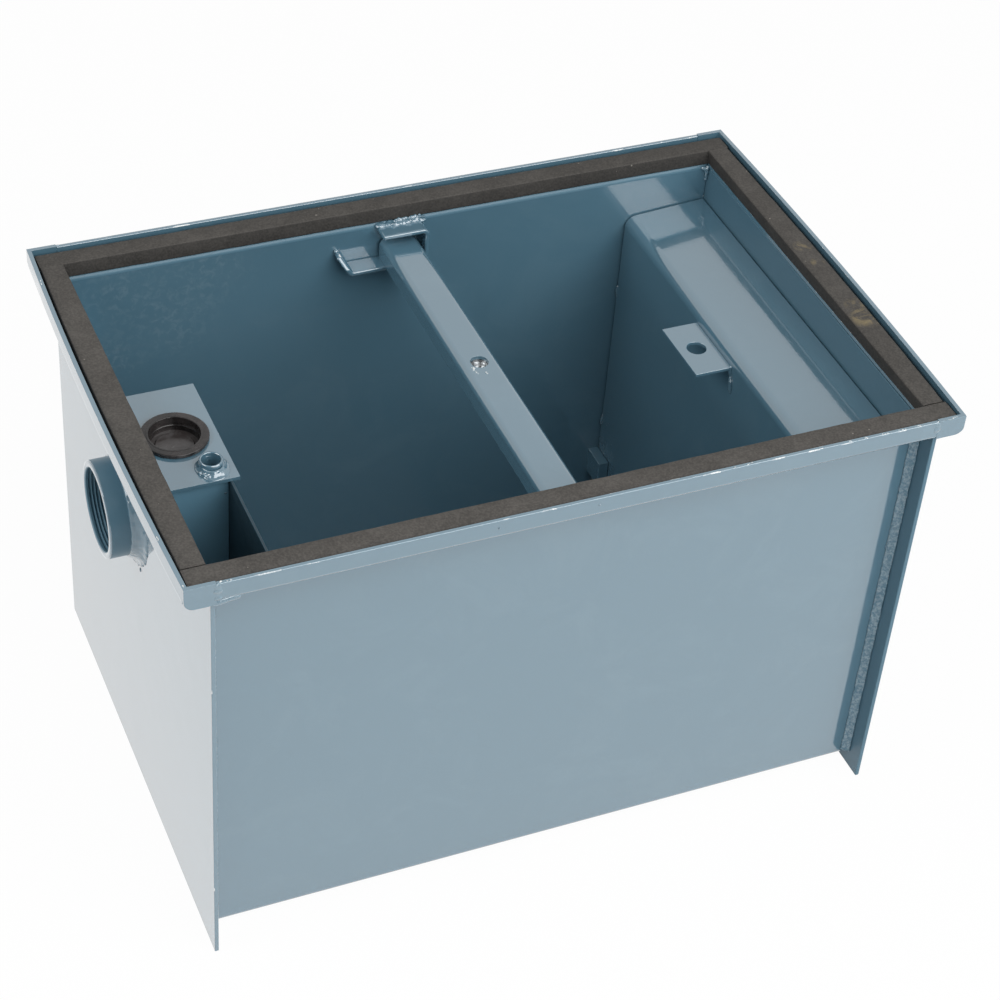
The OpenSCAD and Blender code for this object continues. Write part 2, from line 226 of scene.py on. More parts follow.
def grown(piece, lumps, grain, smooth=2):
    """Adds lumps to a piece, each a centre and a radius along every axis, and runs all into one closed bead."""
    edit(piece)
    for centre, radii in lumps:
        bpy.ops.mesh.primitive_ico_sphere_add(subdivisions=2, radius=1, location=centre, scale=radii)
    done()
    apply_modifier(piece, "REMESH", mode="VOXEL", voxel_size=grain)
    apply_modifier(piece, "SMOOTH", factor=0.5, iterations=smooth)
    only(piece)
    bpy.ops.object.shade_smooth()
    return piece


def run_together(name, lumps, grain, smooth=2):
    """One closed bead made of overlapping lumps."""
    start()
    centre, radii = lumps[0]
    bpy.ops.mesh.primitive_ico_sphere_add(subdivisions=2, radius=1, location=centre, scale=radii)
    piece = bpy.context.active_object
    piece.name = name
    settle(piece)
    return grown(piece, lumps[1:], grain, smooth)


def pick(piece, wanted):
    """Edit mode with the vertices selected whose place fits."""
    edit(piece)
    bpy.ops.mesh.select_all(action="DESELECT")
    done()
    for vertex in piece.data.vertices:
        vertex.select = wanted(vertex.co)
    bpy.ops.object.mode_set(mode="EDIT")


# Shader node helpers

def put(tree, kind, options=None, **inputs):
    """Adds a node, with its options and its inputs set or linked by name."""
    made = tree.nodes.new(kind)
    for key, value in (options or {}).items():
        setattr(made, key, value)
    for label, value in inputs.items():
        socket = made.inputs[label.replace("_", " ")]
        if isinstance(value, bpy.types.NodeSocket):
            tree.links.new(value, socket)
        else:
            socket.default_value = value
    return made


def figure(tree, operation, *values):
    """A Math node's result."""
    made = tree.nodes.new("ShaderNodeMath")
    made.operation = operation
    for socket, value in zip(made.inputs, values):
        if isinstance(value, bpy.types.NodeSocket):
            tree.links.new(value, socket)
        else:
            socket.default_value = value
    return made.outputs[0]


def blended(tree, factor, first, second):
    """A colour between two colours."""
    made = tree.nodes.new("ShaderNodeMix")
    made.data_type = "RGBA"
    for index, value in ((0, factor), (6, first), (7, second)):
        if isinstance(value, bpy.types.NodeSocket):
            tree.links.new(value, made.inputs[index])
        else:
            made.inputs[index].default_value = value
    return made.outputs[2]


def spread(tree, value, low, high, to_low=0.0, to_high=1.0):
    """A value taken from one range to another and held inside it."""
    made = put(tree, "ShaderNodeMapRange", {"clamp": True}, Value=value, From_Min=low, From_Max=high,
               To_Min=to_low, To_Max=to_high)
    return made.outputs[0]


def object_place(tree):
    return put(tree, "ShaderNodeTexCoord").outputs["Object"]


def near(tree, place, spot, core):
    """A mask round a spot, given in mm with its reach: full within a share of the reach and none beyond it."""
    x, y, z, reach = spot
    away = put(tree, "ShaderNodeVectorMath", {"operation": "DISTANCE"})
    tree.links.new(place, away.inputs[0])
    away.inputs[1].default_value = (x * MM, y * MM, z * MM)
    return spread(tree, away.outputs["Value"], reach * MM, core * reach * MM)


def effect(name, inputs, output):
    """An empty node group with a Vector input and named numbers in, and one number out."""
    tree = bpy.data.node_groups.new(name, "ShaderNodeTree")
    tree.interface.new_socket(name="Vector", in_out="INPUT", socket_type="NodeSocketVector")
    for label, value in inputs.items():
        tree.interface.new_socket(name=label, in_out="INPUT", socket_type="NodeSocketFloat").default_value = value
    tree.interface.new_socket(name=output, in_out="OUTPUT", socket_type="NodeSocketFloat")
    return tree, tree.nodes.new("NodeGroupInput").outputs, tree.nodes.new("NodeGroupOutput").inputs


def cloud_effect():
    """Soft cloudy blotches."""
    tree, given, result = effect("cloud_blotches", {"Scale": 12.0, "Low": 0.45, "High": 0.7}, "Mask")
    big = put(tree, "ShaderNodeTexNoise", Vector=given["Vector"], Scale=given["Scale"], Detail=5.0,
              Roughness=0.65, Distortion=0.6)
    mask = put(tree, "ShaderNodeMapRange", {"clamp": True, "interpolation_type": "SMOOTHSTEP"},
               Value=big.outputs[0], From_Min=given["Low"], From_Max=given["High"])
    tree.links.new(mask.outputs[0], result["Mask"])
    return tree


def peel_effect():
    """The low ripple of sprayed enamel."""
    tree, given, result = effect("paint_ripple", {"Scale": 260.0}, "Height")
    fine = put(tree, "ShaderNodeTexNoise", Vector=given["Vector"], Scale=given["Scale"], Detail=1.5)
    wide_scale = figure(tree, "MULTIPLY", given["Scale"], 0.12)
    wide = put(tree, "ShaderNodeTexNoise", Vector=given["Vector"], Scale=wide_scale, Detail=1.0)
    height = figure(tree, "ADD", fine.outputs[0], figure(tree, "MULTIPLY", wide.outputs[0], 3.0))
    tree.links.new(height, result["Height"])
    return tree


def speck_effect():
    """Scattered specks: a share of the cells each hold one."""
    tree, given, result = effect("scattered_specks", {"Scale": 200.0, "Share": 0.1, "Size": 0.3}, "Mask")
    cells = put(tree, "ShaderNodeTexVoronoi", Vector=given["Vector"], Scale=given["Scale"])
    chosen = put(tree, "ShaderNodeSeparateColor", Color=cells.outputs["Color"])
    has_one = figure(tree, "LESS_THAN", chosen.outputs[0], given["Share"])
    reach = figure(tree, "MULTIPLY", given["Size"], figure(tree, "ADD", chosen.outputs[1], 0.4))
    inside = figure(tree, "LESS_THAN", cells.outputs["Distance"], reach)
    tree.links.new(figure(tree, "MULTIPLY", has_one, inside), result["Mask"])
    return tree


CLOUDS = cloud_effect()
PEEL = peel_effect()
SPECKS = speck_effect()


def use(tree, effect_tree, place, **values):
    """An effect's result in a material."""
    made = put(tree, "ShaderNodeGroup", {"node_tree": effect_tree}, Vector=place, **values)
    return made.outputs[0]


def new_material(name, **settings):
    """A material's tree and its Principled shader, with constants set on the shader."""
    material = bpy.data.materials.new(name)
    material.use_nodes = True
    shader = material.node_tree.nodes["Principled BSDF"]
    for label, value in settings.items():
        shader.inputs[label.replace("_", " ")].default_value = value
    return material, material.node_tree, shader


def shaded(colour, shade):
    return tuple(part * shade for part in colour[:3]) + (1,)


def enamel(name, chips=0.0, chip_scale=260.0, ripple=0.06, ripple_scale=260.0, clouds=0.35, mist=(), dirt=0.0,
           speckle=0.0, dull=0.0, shade=1.0, stretch=1.0):
    """Blue-grey enamel, glossy or dull, with shares of chips down to pale primer, overspray, dirt and specks; shade
    scales its colour and so paints light or shade into some parts, and the specks and stretched chips are partly
    painted highlights.
    """
    material, tree, shader = new_material(name, IOR=1.9 - 0.45 * dull, Coat_Weight=1.0 - dull, Coat_IOR=1.7,
                                          Coat_Roughness=0.02)
    place = object_place(tree)
    cloud = use(tree, CLOUDS, place, Scale=14.0)
    colour = blended(tree, figure(tree, "MULTIPLY", cloud, clouds), shaded(ENAMEL, shade), shaded(ENAMEL_PALE, shade))
    rough = spread(tree, cloud, 0.0, 1.0, 0.10 + 0.25 * dull, 0.16 + 0.30 * dull)
    for spot in mist:
        dry = use(tree, CLOUDS, place, Scale=170.0, Low=0.46, High=0.66)
        share = figure(tree, "MULTIPLY", near(tree, place, spot, 0.1), figure(tree, "MULTIPLY", dry, 0.30))
        colour = blended(tree, share, colour, ENAMEL_MIST)
    # Pale specks, partly the weld's own tone and partly a painted highlight
    if speckle:
        pale = use(tree, CLOUDS, place, Scale=420.0, Low=0.42, High=0.60)
        colour = blended(tree, figure(tree, "MULTIPLY", pale, speckle), colour, PALE_WELD_AND_HIGHLIGHT)
    if dirt:
        spot = use(tree, SPECKS, place, Scale=150.0, Share=dirt, Size=0.11)
        colour = blended(tree, figure(tree, "MULTIPLY", spot, 0.6), colour, RUBBER_DARK)
    # Chips down to pale primer; stretched along x they also paint a highlight line along an edge
    if chips:
        drawn = put(tree, "ShaderNodeVectorMath", {"operation": "MULTIPLY"})
        tree.links.new(place, drawn.inputs[0])
        drawn.inputs[1].default_value = (1.0 / stretch, 1.0, 1.0)
        chip = use(tree, SPECKS, drawn.outputs["Vector"], Scale=chip_scale, Share=chips, Size=0.5)
        patchy = use(tree, CLOUDS, place, Scale=45.0, Low=0.42, High=0.62)
        chip = figure(tree, "MULTIPLY", chip, patchy)
        colour = blended(tree, chip, colour, PRIMER)
        rough = figure(tree, "MAXIMUM", rough, figure(tree, "MULTIPLY", chip, 0.5))
    tree.links.new(colour, shader.inputs["Base Color"])
    tree.links.new(rough, shader.inputs["Roughness"])
    bump = put(tree, "ShaderNodeBump", Strength=ripple, Distance=MM, Height=use(tree, PEEL, place, Scale=ripple_scale))
    tree.links.new(bump.outputs[0], shader.inputs["Normal"])
    return material


def gasket_rubber(name, stains=(), shade=1.0):
    """Matte sponge rubber: grainy, dusty and, on one strip, stained at some places."""
    material, tree, shader = new_material(name, IOR=1.4)
    place = object_place(tree)
    worn = use(tree, CLOUDS, place, Scale=30.0, Low=0.35, High=0.7)
    grain = put(tree, "ShaderNodeTexNoise", Vector=place, Scale=700.0, Detail=3.0).outputs[0]
    tone = figure(tree, "ADD", figure(tree, "MULTIPLY", worn, 0.35), spread(tree, grain, 0.36, 0.66, 0.0, 0.7))
    colour = blended(tree, tone, shaded(RUBBER_DARK, shade), shaded(RUBBER_LIGHT, shade))
    for spot in stains:
        stain = use(tree, CLOUDS, place, Scale=90.0, Low=0.44, High=0.62)
        share = figure(tree, "MULTIPLY", near(tree, place, spot, 0.3), figure(tree, "MULTIPLY", stain, 0.8))
        colour = blended(tree, share, colour, RUBBER_STAIN)
    dust = use(tree, SPECKS, place, Scale=230.0, Share=0.06, Size=0.14)
    colour = blended(tree, figure(tree, "MULTIPLY", dust, 0.6), colour, RUBBER_DUST)
    tree.links.new(colour, shader.inputs["Base Color"])
    tree.links.new(spread(tree, grain, 0.3, 0.7, 0.62, 0.85), shader.inputs["Roughness"])
    bump = put(tree, "ShaderNodeBump", Strength=0.5, Distance=0.4 * MM, Height=grain)
    tree.links.new(bump.outputs[0], shader.inputs["Normal"])
    return material


def plug_rubber(name, dark, worn_colour):
    """Smooth black rubber, worn or dusty in patches."""
    material, tree, shader = new_material(name, IOR=1.5)
    place = object_place(tree)
    worn = use(tree, CLOUDS, place, Scale=60.0, Low=0.35, High=0.75)
    tree.links.new(blended(tree, worn, dark, worn_colour), shader.inputs["Base Color"])
    tree.links.new(spread(tree, worn, 0.0, 1.0, 0.16, 0.34), shader.inputs["Roughness"])
    bump = put(tree, "ShaderNodeBump", Strength=0.15, Distance=0.3 * MM, Height=worn)
    tree.links.new(bump.outputs[0], shader.inputs["Normal"])
    return material


def bare_steel():
    """Bare cut steel with darker patches."""
    material, tree, shader = new_material("bare_steel", Metallic=1.0)
    place = object_place(tree)
    dull = use(tree, CLOUDS, place, Scale=150.0, Low=0.35, High=0.65)
    tree.links.new(blended(tree, dull, STEEL, STEEL_DARK), shader.inputs["Base Color"])
    tree.links.new(spread(tree, dull, 0.0, 1.0, 0.22, 0.45), shader.inputs["Roughness"])
    return material


def primer_chip():
    """Pale primer, mottled with enamel, where the paint has chipped off."""
    material, tree, shader = new_material("chipped_primer", IOR=1.5)
    place = object_place(tree)
    mottle = use(tree, CLOUDS, place, Scale=400.0, Low=0.4, High=0.65)
    tree.links.new(blended(tree, mottle, PRIMER, ENAMEL_PALE), shader.inputs["Base Color"])
    tree.links.new(spread(tree, mottle, 0.0, 1.0, 0.35, 0.2), shader.inputs["Roughness"])
    return material


# Places in mm with their reach
GASKET_STAINS = [(269, -65, 354, 13), (270, -49, 354, 9), (268, 29, 354, 8), (269, 7, 354, 6)]
WALL_MIST = [(-218, 166, 324, 46), (-178, 166, 288, 40), (-150, 166, 332, 44), (-226, 166, 262, 30)]

WALL_ENAMEL = enamel("wall_enamel")
TANK_ENAMEL = enamel("tank_enamel", mist=WALL_MIST)
LID_ENAMEL = enamel("lid_enamel", dirt=0.10, clouds=0.5)
EDGE_ENAMEL = enamel("edge_enamel", chips=0.02)
RIM_ENAMEL = enamel("rim_edge_enamel", chips=0.34, chip_scale=380.0)
WELD_ENAMEL = enamel("weld_enamel", ripple=0.55, ripple_scale=620.0, clouds=0.8)
SMOOTH_WELD_ENAMEL = enamel("smooth_weld_enamel", ripple=0.16, ripple_scale=420.0, clouds=0.6, dull=0.4)
# The seam welds' pale speckle is partly a painted highlight for the light their faces reflect
SEAM_ENAMEL = enamel("seam_weld_enamel", ripple=0.6, ripple_scale=700.0, speckle=0.45, dull=1.0)
DULL_ENAMEL = enamel("dull_enamel", dull=1.0)
# Pale streaks along the long rails' edges: partly chipped paint, partly a painted highlight line along the edge
LONG_RIM_CHIPS_AND_HIGHLIGHT_ENAMEL = enamel("long_rim_edge_chips_and_painted_highlight", chips=0.42, chip_scale=380.0, stretch=5.0)
# Painted light: the outlet box's walls take an enamel half again as light, standing in for the light on the box front
BOX_PAINTED_LIGHT_ENAMEL = enamel("outlet_box_painted_light_enamel", shade=1.5)
# Painted shade: the outlet plate is darkened to near black and its edges dimmed, standing in for the shade in the
# pocket beside the outlet box
OUTLET_PAINTED_SHADE_ENAMEL = enamel("outlet_plate_painted_shade_enamel", shade=0.25, dull=1.0)
OUTLET_EDGE_PAINTED_SHADE_ENAMEL = enamel("outlet_plate_edge_painted_shade_enamel", shade=0.45, dull=1.0)
# Painted shade: the right end plate's enamel is a little darker, toning down the light on its flange and inner face
PLATE_PAINTED_SHADE_ENAMEL = enamel("right_plate_painted_shade_enamel", shade=0.92, dull=1.0)
GASKET = gasket_rubber("gasket_rubber", shade=1.06)
BACK_GASKET = gasket_rubber("back_gasket_rubber", shade=0.92)
# Partly painted shade: the sides of the gasket strips take a copy of the rubber at 0.6 of its colour
GASKET_SIDE_PAINTED_SHADE = gasket_rubber("gasket_side_rubber_painted_shade", shade=0.6)
STAINED_GASKET = gasket_rubber("stained_gasket_rubber", GASKET_STAINS)
PLUG = plug_rubber("plug_rubber", PLUG_BLACK, PLUG_WORN)
PLUG_FLOOR = plug_rubber("dusty_plug_rubber", PLUG_WORN, PLUG_DUST)
BARE = bare_steel()
CHIP = primer_chip()


# Sheet steel: the CAD's own sheets with eased edges

HOOK_SWELL = 0.35 * MM
FRONT_HOOK_SHARE = 0.6
RAIL_INSIDE = 276.0
RAIL_CUTS = 7
RAIL_STEP = 22
RETURN_FACE = 3.2
LEFT_BOW = 4.0
RIGHT_BOW = 3.4
GASKET_BOW_SHARE = 0.85
BEND_BELOW = 6
BEND_ABOVE = 0.5
BEND_INSIDE = 175

# Each end rail's side, the height of its front return's foot, how far the foot is drawn down, and its bow, in mm
END_RAILS = [("left_end_rail", -1, 7.0, 0.4, LEFT_BOW), ("right_end_rail", 1, 9.0, -2.2, RIGHT_BOW)]


def sheet_pieces():
    """The sheets, the rails, the crossbar and its hooks."""
    # The long rails' edges take pale streaks that are partly chips and partly a painted highlight
    tank = eased("tank_wrapper", [TANK_ENAMEL, DULL_ENAMEL, LONG_RIM_CHIPS_AND_HIGHLIGHT_ENAMEL], RIM_EASE)
    dull_bends(tank)
    for node, side, height, drop, bow in END_RAILS:
        rail = eased(node, [WALL_ENAMEL, RIM_ENAMEL], RIM_EASE)
        bent_corner(rail, node, height, drop)
        cut_across(rail)
        bowed(rail, side, RAIL_INSIDE, bow)
    eased("outlet_box_lid", [LID_ENAMEL, EDGE_ENAMEL])
    eased("back_bar_hook", [WALL_ENAMEL, EDGE_ENAMEL], HOOK_EASE, swell=HOOK_SWELL)
    hook = eased("front_bar_hook", [WALL_ENAMEL, EDGE_ENAMEL], HOOK_EASE, swell=HOOK_SWELL)
    edit(hook)
    bpy.ops.transform.resize(value=(1, FRONT_HOOK_SHARE, 1), center_override=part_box("front_bar_hook")[0])
    done()
    for node in ("left_end_plate", "crossbar", "inlet_baffle", "lift_tab", "back_baffle_guide", "front_baffle_guide"):
        eased(node, [WALL_ENAMEL, EDGE_ENAMEL])
    # The outlet box's walls carry painted light in their lighter enamel
    for node in ("outlet_box_front", "outlet_box_back"):
        eased(node, [BOX_PAINTED_LIGHT_ENAMEL, EDGE_ENAMEL])
    # Painted shade: the outlet plate near black, its edges dim
    eased("outlet_plate", [OUTLET_PAINTED_SHADE_ENAMEL, OUTLET_EDGE_PAINTED_SHADE_ENAMEL])
    # Painted shade: the right end plate is a little darker
    eased("right_end_plate", [PLATE_PAINTED_SHADE_ENAMEL, DULL_ENAMEL], RIM_EASE)


def cut_across(rail):
    """Cuts a rail across at even steps, so that it can be bowed."""
    for i in range(-RAIL_CUTS, RAIL_CUTS + 1):
        edit(rail)
        bpy.ops.mesh.bisect(plane_co=(0, RAIL_STEP * MM * i, 0), plane_no=(0, 1, 0))
        done()


def bowed(piece, side, inside, bow):
    """Bows what lies outside a line along an end of the tank outwards, most in the middle, as in the photo."""
    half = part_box("left_end_rail")[1].y / MM
    for row in sorted({round(vertex.co.y / MM, 1) for vertex in piece.data.vertices}):
        pick(piece, lambda co: co.x * side > inside * MM and round(co.y / MM, 1) == row)
        bpy.ops.transform.translate(value=(side * bow * (1 - (row / half) ** 2) * MM, 0, 0))
        done()


def bent_corner(rail, node, height, drop):
    """Draws the foot of an end rail's front return down or up a little, to the height seen in the photo."""
    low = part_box(node)[0]
    face = low.y + RETURN_FACE * MM
    level = low.z + height * MM
    pick(rail, lambda co: co.y < face and co.z < level)
    bpy.ops.transform.resize(value=(1, 1, 1 + drop / height), center_override=(0, 0, level))
    done()


def dull_bends(tank):
    """Gives the bends at the top of the walls a duller finish, so that no bright line shows under the gasket."""
    start()
    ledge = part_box("back_gasket")[0].z
    for face in tank.data.polygons:
        at_ledge = ledge - BEND_BELOW * MM < face.center.z < ledge + BEND_ABOVE * MM
        if at_ledge and 0.05 < face.normal.z < 0.99 and abs(face.center.y) < BEND_INSIDE * MM:
            face.material_index = 1


# Couplings, turned with their threads

PIPE_RADIUS = 34.9
PIPE_BORE_RADIUS = 28.6
PIPE_MOUTH_RADIUS = 30.75
PIPE_SINK = 0.9
PIPE_WELD = 9.0
THREAD_DEPTH = 1.5
THREAD_PITCH = 2.4
THREAD_FLARE = 1.2
MOUTH_CHAMFER = 1.2
WELD_LUMPS = 62
WELD_RUNS = 9


def zigzag(radius, low, high, pitch, depth, flare=0.0):
    """Points of a thread's section from low to high, cut into a bore of the given radius that flares outwards."""
    points = []
    count = int((high - low) / pitch)
    for i in range(count):
        wide = radius + flare * i / count
        points += [(wide, low + i * pitch), (wide + depth, low + (i + 0.5) * pitch)]
    return points + [(radius + flare, low + count * pitch), (radius + flare, high)]


def coupling(node, side):
    """A threaded half coupling, turned from its section, on the end plate at the given side."""
    low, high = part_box(node)
    reach = (low.x if side < 0 else high.x) / MM
    length = (high.x - low.x) / MM
    height = (low.z + high.z) / 2
    outline = zigzag(PIPE_BORE_RADIUS, -length, -PIPE_SINK, THREAD_PITCH, THREAD_DEPTH, THREAD_FLARE)
    outline += [(PIPE_MOUTH_RADIUS - 0.3, -0.3), (PIPE_MOUTH_RADIUS + 0.2, 0), (PIPE_RADIUS - MOUTH_CHAMFER, 0),
                (PIPE_RADIUS - 0.4, -0.35), (PIPE_RADIUS, -MOUTH_CHAMFER), (PIPE_RADIUS, -length)]
    piece = turned("threaded_" + node, outline, (reach * MM, 0, height), (side, 0, 0), (0, 0, 1))
    dress(piece, [DULL_ENAMEL, WALL_ENAMEL], "tank")
    for face in piece.data.polygons:
        away = math.hypot(face.center.y, face.center.z - height) / MM
        if abs(face.center.x / MM - reach) < 1.0 and away > PIPE_MOUTH_RADIUS - 0.6:
            face.material_index = 1
    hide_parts(node)


def fillet(leg):
    """Points of a weld fillet's hollow face, from its outer toe up the tube, as (outwards, upwards)."""
    return [(leg, 0), (0.97 * leg, 0.10 * leg), (0.72 * leg, 0.20 * leg), (0.48 * leg, 0.38 * leg),
            (0.28 * leg, 0.62 * leg), (0.14 * leg, 0.90 * leg), (0, leg)]


def coupling_weld(name, side, plate_x, height, rng):
    """The broad uneven fillet round a coupling, with runs of weld below it."""
    face = [(PIPE_WELD + 1, -0.6)] + fillet(PIPE_WELD)
    outline = [(PIPE_RADIUS - 1, -0.6)] + [(PIPE_RADIUS + r, h) for r, h in face] + [(PIPE_RADIUS - 1, PIPE_WELD)]
    piece = turned(name, outline, (side * plate_x * MM, 0, height * MM), (side, 0, 0), (0, 0, 1))
    lumps = []
    for i in range(WELD_LUMPS):
        angle = math.tau * i / WELD_LUMPS
        radius = PIPE_RADIUS + PIPE_WELD + rng.uniform(-2.6, -1.0)
        place = Vector((side * plate_x, radius * math.cos(angle), height + radius * math.sin(angle)))
        radii = Vector((rng.uniform(0.9, 1.5), rng.uniform(2.6, 3.6), rng.uniform(2.6, 3.6)))
        lumps.append((place * MM, radii * MM))
    for i in range(WELD_RUNS):
        angle = math.radians(-118 + 5.5 * i + rng.uniform(-2, 2))
        radius = PIPE_RADIUS + PIPE_WELD + rng.uniform(0.0, 5.5)
        place = Vector((side * plate_x, radius * math.cos(angle), height + radius * math.sin(angle)))
        lumps.append((place * MM, Vector((0.9, 1.1, 2.8)) * MM))
    piece = grown(piece, lumps, 0.8 * MM)
    roughen(piece, 6 * MM, 1.0 * MM)
    dress(piece, [SMOOTH_WELD_ENAMEL], "tank")


def couplings():
    """Both couplings, each with its weld."""
    rng = random.Random(11)
    for node, side in (("outlet_coupling", -1), ("inlet_coupling", 1)):
        low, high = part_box(node)
        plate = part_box("right_end_plate")[1].x / MM
        coupling(node, side)
        coupling_weld(node + "_weld", side, plate, (low.z + high.z) / 2 / MM, rng)


# Gasket strips

GASKET_EDGE = 1.2
GASKET_SPREAD = 2.4
GASKET_SAG = 0.4
GASKET_STEP = 4
BUTT_GAP = 0.15
FRONT_SWELL = 0.9
LEFT_SWELL = 0.5


def gasket_strip(node, along, material, swell=0.0):
    """A strip of sponge rubber with eased, uneven edges, its outer side swollen or bowed out a little."""
    low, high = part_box(node)
    across = 1 - along
    outwards = 1 if (low + high)[across] > 0 else -1
    inner, outer = (low, high) if outwards > 0 else (high, low)
    outer[across] += outwards * swell * MM
    if along == 0:
        inner[across] += outwards * GASKET_SPREAD * MM
    else:
        low[along] += BUTT_GAP * MM
        high[along] -= BUTT_GAP * MM
    size = high - low
    start()
    bpy.ops.mesh.primitive_cube_add(size=1, location=(low + high) / 2)
    piece = bpy.context.active_object
    piece.name = "sponge_" + node
    piece.scale = size
    settle(piece)
    pick_long_edges(piece, along, size[along] / 2)
    bpy.ops.mesh.bevel(offset=GASKET_EDGE * MM, segments=3)
    done()
    shift = Vector((0, 0, 0))
    if along == 0:
        foot = low.z + (GASKET_EDGE + 0.1) * MM
        brink = inner[across] + outwards * (GASKET_EDGE + 0.1) * MM
        pick(piece, lambda co: co.z < foot and (co[across] - brink) * outwards < 0)
        shift[across] = -outwards * GASKET_SPREAD * MM
        shift.z = -GASKET_SAG * MM
        bpy.ops.transform.translate(value=shift)
        done()
    else:
        crown = high.z - (GASKET_EDGE + 0.1) * MM
        for way in (-1, 1):
            pick(piece, lambda co: co.z > crown and co[along] * way > 0)
            shift[along] = way * GASKET_SPREAD * MM
            bpy.ops.transform.translate(value=shift)
            done()
    pick_long_edges(piece, along, size[along] / 2)
    bpy.ops.mesh.subdivide(number_cuts=int(size[along] / (GASKET_STEP * MM)))
    done()
    if along == 1:
        bow = GASKET_BOW_SHARE * (LEFT_BOW if outwards < 0 else RIGHT_BOW)
        bowed(piece, outwards, abs((low + high).x) / 2 / MM, bow)
    roughen(piece, 18 * MM, 0.7 * MM)
    only(piece)
    bpy.ops.object.shade_smooth_by_angle(angle=math.radians(50))
    dress(piece, [material, GASKET_SIDE_PAINTED_SHADE], "tank")
    # Faces that do not face up take the darker side rubber, which is partly painted shade
    for face in piece.data.polygons:
        face.material_index = 1 if face.normal.z < 0.6 else 0
    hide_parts(node)


def pick_long_edges(piece, along, least):
    """Edit mode with the edges selected that run along an axis for at least a length."""
    edit(piece)
    bpy.ops.mesh.select_all(action="DESELECT")
    bpy.ops.mesh.select_mode(type="EDGE")
    done()
    points = piece.data.vertices
    for edge in piece.data.edges:
        first, last = (points[i].co for i in edge.vertices)
        edge.select = abs((first - last)[along]) > least
    bpy.ops.object.mode_set(mode="EDIT")


def gasket_strips():
    gasket_strip("front_gasket", 0, GASKET, swell=FRONT_SWELL)
    gasket_strip("back_gasket", 0, BACK_GASKET)
    gasket_strip("left_gasket", 1, GASKET, swell=LEFT_SWELL)
    gasket_strip("right_gasket", 1, STAINED_GASKET)


# Welds

SEAM_LEG = 7.5
SEAM_SHARE = 0.8
VENT_RADIUS = 8.25
VENT_BORE_RADIUS = 6.75
VENT_WELD = 4.4
RING_STEPS = 64

# Where the smear of weld under the left front return starts, its step in x and z, and how many lumps it has
SMEAR_START = (-258.5, 338.4)
SMEAR_STEP = (1.8, 0.26)
SMEAR_LUMPS = 9


def seam_welds():
    """The ragged fillets between the walls and the end plates."""
    only(frame["nodes"]["seam_welds"])
    bpy.ops.object.duplicate()
    piece = bpy.context.active_object
    piece.name = "ragged_seam_welds"
    del piece["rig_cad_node"]
    edit(piece)
    bpy.ops.mesh.customdata_custom_splitnormals_clear()
    bpy.ops.mesh.remove_doubles(threshold=JOIN)
    done()
    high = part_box("seam_welds")[1]
    for sx in (-1, 1):
        for sy in (-1, 1):
            corner = (sx * high.x, sy * (high.y - SEAM_LEG * MM), 0)
            pick(piece, lambda co: co.x * sx > 0 and co.y * sy > 0)
            bpy.ops.transform.resize(value=(SEAM_SHARE, SEAM_SHARE, 1), center_override=corner)
            done()
    apply_modifier(piece, "REMESH", mode="VOXEL", voxel_size=0.9 * MM)
    roughen(piece, 9 * MM, 1.2 * MM)
    roughen(piece, 2.5 * MM, 0.9 * MM)
    only(piece)
    bpy.ops.object.shade_smooth()
    dress(piece, [SEAM_ENAMEL], "tank")
    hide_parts("seam_welds")


def half_turn(lumps, about_x):
    """The same lumps turned half round about the upright line through the crossbar's middle."""
    return [(Vector((2 * about_x - c.x, -c.y, c.z)), r) for c, r in lumps]


def hook_welds():
    """Beads that hold the crossbar's hooks to the walls."""
    rng = random.Random(5)
    hook_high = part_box("back_bar_hook")[1]
    wall, top = hook_high.y / MM, hook_high.z / MM
    bar_low, bar_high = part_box("crossbar")
    middle = (bar_low.x + bar_high.x) / 2
    lumps = lumps_along((-17, wall - 1.4, top + 0.3), (15.5, wall - 1.4, top + 0.3), 12, (4.2, 3.0, 1.9), 0.5, rng)
    lumps += lumps_along((-9, wall + 0.4, top + 1.2), (15.5, wall + 0.4, top + 1.2), 8, (3.6, 2.2, 1.7), 0.5, rng)
    lumps += lumps_along((-9, wall - 3.6, top + 1.5), (14, wall - 2.4, top + 1.7), 14, (1.3, 1.1, 1.0), 0.8, rng)
    lumps += lumps_along((-6, wall - 0.6, top + 2.9), (15, wall - 0.6, top + 2.9), 12, (1.2, 1.0, 1.0), 0.8, rng)
    lumps += lumps_along((17, wall - 0.8, top - 4), (17, wall - 0.8, top - 22), 7, (2.0, 2.0, 3.2), 0.4, rng)
    lumps += lumps_along((-52, wall - 0.8, top - 16), (-48, wall - 0.8, top - 26), 4, (2.0, 2.2, 2.2), 0.5, rng)
    lumps += lumps_along((-44, wall - 0.6, top - 30.5), (13, wall - 0.6, top - 30.5), 16, (3.2, 2.0, 1.6), 0.4, rng)
    for name, row in (("back_hook_welds", lumps), ("front_hook_welds", half_turn(lumps, middle))):
        piece = run_together(name, row, 0.5 * MM, smooth=1)
        roughen(piece, 2.5 * MM, 0.6 * MM)
        dress(piece, [WELD_ENAMEL], "tank")


def tab_weld():
    """The bead under the lift tab and the run of weld at its front corner."""
    rng = random.Random(7)
    low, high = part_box("lift_tab")
    face = high.x / MM
    under = low.z / MM
    front, back = low.y / MM, high.y / MM
    lumps = lumps_along((face - 0.6, front + 3, under), (face - 0.6, back - 3, under), 16, (1.8, 2.8, 1.8), 0.4, rng)
    lumps += lumps_along((face - 0.5, front + 1, under + 1), (face - 0.2, front - 4, under - 17), 8,
                         (1.6, 1.4, 2.4), 0.4, rng)
    piece = run_together("lift_tab_weld", lumps, 0.6 * MM)
    dress(piece, [WELD_ENAMEL], "baffle")


